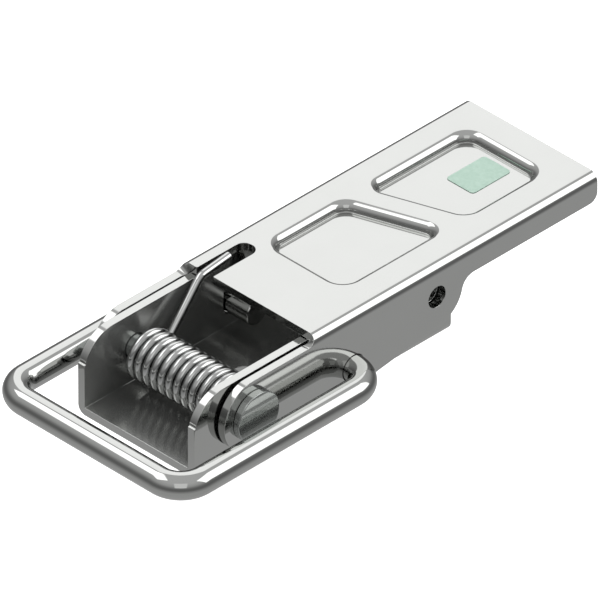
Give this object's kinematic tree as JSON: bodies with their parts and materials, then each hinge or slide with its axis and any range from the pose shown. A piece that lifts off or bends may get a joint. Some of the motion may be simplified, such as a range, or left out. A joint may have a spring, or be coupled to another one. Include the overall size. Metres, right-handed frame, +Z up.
{
  "type": "toggle latch",
  "caption": "Over-centre toggle latch: folded steel base, sprung lever with a channel handle, and a round-bar bail.",
  "frame": {"origin": "on the base's underside, straight below the pivot pin, in the middle of the latch's width", "axes": "+X from the bail towards the free end of the handle, +Y across the latch, +Z up, away from the surface the base is fixed to"},
  "size_m": [0.172, 0.0754, 0.0287],
  "materials": {
    "plated_sheet": "bright zinc-plated sheet steel",
    "plated_bar": "bright zinc-plated drawn bar",
    "spring_wire": "drawn spring wire",
    "label_film": "blank printed film"
  },
  "bodies": {
    "base": {"base_channel": "plated_sheet", "pivot_pin": "plated_bar", "torsion_spring": "spring_wire"},
    "lever": {"lever_handle": "plated_sheet", "blank_label": "label_film"},
    "bail": {"wire_bail": "plated_bar"}
  },
  "joints": [
    {"name": "lever_pivot", "type": "hinge", "parent": "base", "child": "lever", "pos_m": [0, 0, 0.0137], "axis": [0, -1, 0], "range_deg": [0, 130], "stiffness_Nm_per_rad": 0.25, "springref_deg": -34.38, "deforming": ["torsion_spring"]},
    {"name": "bail_pivot", "type": "hinge", "parent": "lever", "child": "bail", "pos_m": [0.0382, 0, 0.0098], "axis": [0, -1, 0], "range_deg": [-160, 4]}
  ]
}
